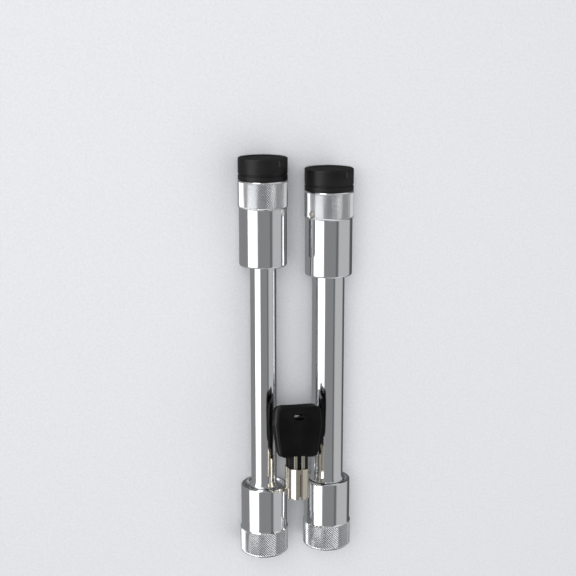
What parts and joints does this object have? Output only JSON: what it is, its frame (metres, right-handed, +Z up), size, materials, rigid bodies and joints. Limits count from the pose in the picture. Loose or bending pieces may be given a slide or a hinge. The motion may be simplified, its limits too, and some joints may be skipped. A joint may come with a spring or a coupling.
{
  "type": "hitch pin lock",
  "caption": "Pair of barbell trailer locks, a 5/8 in hitch pin lock and a 1/2 in ball holder lock, each with a removable key-locked head and a black weather cap, with two tubular keys.",
  "frame": {"origin": "on the floor under the set's middle: midway between the two pins and midway along the longer lock", "axes": "+X across the pair from the 1/2 in lock to the 5/8 in lock, +Y along the pins from the fixed end heads to the caps, +Z up; the set lies on its back"},
  "size_m": [0.0566, 0.2002, 0.0392],
  "materials": {
    "plated_steel": "bright plated",
    "hardened_steel": "ground",
    "spring_steel": "drawn wire",
    "lock_brass": "machined",
    "pin_brass": "dull nickel over brass",
    "black_rubber": "matt",
    "black_plastic": "fine moulded texture",
    "key_nickel": "warm nickel plated"
  },
  "bodies": {
    "hitch_pin": {"hitch_shank": "plated_steel", "hitch_end_head": "plated_steel"},
    "hitch_lock": {"hitch_lock_body": "plated_steel", "hitch_retaining_pin": "pin_brass", "hitch_shank_seal": "black_rubber", "hitch_ball_cage": "hardened_steel", "hitch_cylinder_shell": "lock_brass", "hitch_pin_sleeve": "lock_brass", "hitch_face_ring": "hardened_steel", "hitch_cap_seal": "black_rubber", "hitch_tumbler_springs": "spring_steel"},
    "hitch_cap": {"hitch_weather_cap": "black_plastic"},
    "hitch_core": {"hitch_plug": "lock_brass", "hitch_lock_cam": "hardened_steel"},
    "hitch_ball_1": {"hitch_locking_ball_a": "hardened_steel"},
    "hitch_ball_2": {"hitch_locking_ball_b": "hardened_steel"},
    "hitch_outer_tumblers": {"hitch_key_pins": "pin_brass"},
    "hitch_inner_tumblers": {"hitch_driver_pins": "hardened_steel"},
    "ball_pin": {"ball_shank": "plated_steel", "ball_end_head": "plated_steel"},
    "ball_lock": {"ball_lock_body": "plated_steel", "ball_retaining_pin": "pin_brass", "ball_shank_seal": "black_rubber", "ball_ball_cage": "hardened_steel", "ball_cylinder_shell": "lock_brass", "ball_pin_sleeve": "lock_brass", "ball_face_ring": "hardened_steel", "ball_cap_seal": "black_rubber", "ball_tumbler_springs": "spring_steel"},
    "ball_cap": {"ball_weather_cap": "black_plastic"},
    "ball_core": {"ball_plug": "lock_brass", "ball_lock_cam": "hardened_steel"},
    "ball_ball_1": {"ball_locking_ball_a": "hardened_steel"},
    "ball_ball_2": {"ball_locking_ball_b": "hardened_steel"},
    "ball_outer_tumblers": {"ball_key_pins": "pin_brass"},
    "ball_inner_tumblers": {"ball_driver_pins": "hardened_steel"},
    "lower_key": {"lower_key_tube": "key_nickel", "lower_key_head": "black_plastic"},
    "upper_key": {"upper_key_tube": "key_nickel", "upper_key_head": "black_plastic"}
  },
  "joints": [
    {"name": "hitch_body_pull_off", "type": "slide", "parent": "hitch_pin", "child": "hitch_lock", "axis": [0, 1, 0], "range_m": [0, 0.08]},
    {"name": "hitch_cap_pull_off", "type": "slide", "parent": "hitch_lock", "child": "hitch_cap", "axis": [0, 1, 0], "range_m": [0, 0.025]},
    {"name": "hitch_plug_turn", "type": "hinge", "parent": "hitch_lock", "child": "hitch_core", "pos_m": [0.0163, 0.07985, 0.012], "axis": [0, 1, 0], "range_deg": [0, 90]},
    {"name": "hitch_ball_a_push", "type": "slide", "parent": "hitch_lock", "child": "hitch_ball_1", "axis": [-1, 0, 0], "range_m": [0, 0.00105]},
    {"name": "hitch_ball_b_push", "type": "slide", "parent": "hitch_lock", "child": "hitch_ball_2", "axis": [1, 0, 0], "range_m": [0, 0.00105]},
    {"name": "hitch_key_pin_push", "type": "slide", "parent": "hitch_core", "child": "hitch_outer_tumblers", "axis": [0, -1, 0], "range_m": [-0.0015, 0.0012]},
    {"name": "hitch_driver_pin_push", "type": "slide", "parent": "hitch_lock", "child": "hitch_inner_tumblers", "axis": [0, -1, 0], "range_m": [-0.0015, 0.0012], "deforming": ["hitch_tumbler_springs"]},
    {"name": "ball_body_pull_off", "type": "slide", "parent": "ball_pin", "child": "ball_lock", "axis": [0, 1, 0], "range_m": [0, 0.08]},
    {"name": "ball_cap_pull_off", "type": "slide", "parent": "ball_lock", "child": "ball_cap", "axis": [0, 1, 0], "range_m": [0, 0.025]},
    {"name": "ball_plug_turn", "type": "hinge", "parent": "ball_lock", "child": "ball_core", "pos_m": [-0.0163, 0.08585, 0.012], "axis": [0, 1, 0], "range_deg": [0, 90]},
    {"name": "ball_ball_a_push", "type": "slide", "parent": "ball_lock", "child": "ball_ball_1", "axis": [-1, 0, 0], "range_m": [0, 0.00105]},
    {"name": "ball_ball_b_push", "type": "slide", "parent": "ball_lock", "child": "ball_ball_2", "axis": [1, 0, 0], "range_m": [0, 0.00105]},
    {"name": "ball_key_pin_push", "type": "slide", "parent": "ball_core", "child": "ball_outer_tumblers", "axis": [0, -1, 0], "range_m": [-0.0015, 0.0012]},
    {"name": "ball_driver_pin_push", "type": "slide", "parent": "ball_lock", "child": "ball_inner_tumblers", "axis": [0, -1, 0], "range_m": [-0.0015, 0.0012], "deforming": ["ball_tumbler_springs"]},
    {"name": "ball_lock_aside", "type": "slide", "parent": "hitch_pin", "child": "ball_pin", "axis": [-1, 0, 0], "range_m": [0, 0.05]},
    {"name": "lower_key_lift", "type": "slide", "parent": "hitch_pin", "child": "lower_key", "axis": [0, 0, 1], "range_m": [0, 0.04]},
    {"name": "upper_key_lift", "type": "slide", "parent": "lower_key", "child": "upper_key", "axis": [0, 0, 1], "range_m": [0, 0.04]}
  ],
  "couplings": [
    {"joint": "hitch_ball_a_push", "follows": "hitch_plug_turn", "m_per_rad": 0.00066845},
    {"joint": "hitch_ball_b_push", "follows": "hitch_plug_turn", "m_per_rad": 0.00066845},
    {"joint": "hitch_driver_pin_push", "follows": "hitch_key_pin_push", "ratio": 1},
    {"joint": "ball_ball_a_push", "follows": "ball_plug_turn", "m_per_rad": 0.00066845},
    {"joint": "ball_ball_b_push", "follows": "ball_plug_turn", "m_per_rad": 0.00066845},
    {"joint": "ball_driver_pin_push", "follows": "ball_key_pin_push", "ratio": 1}
  ]
}
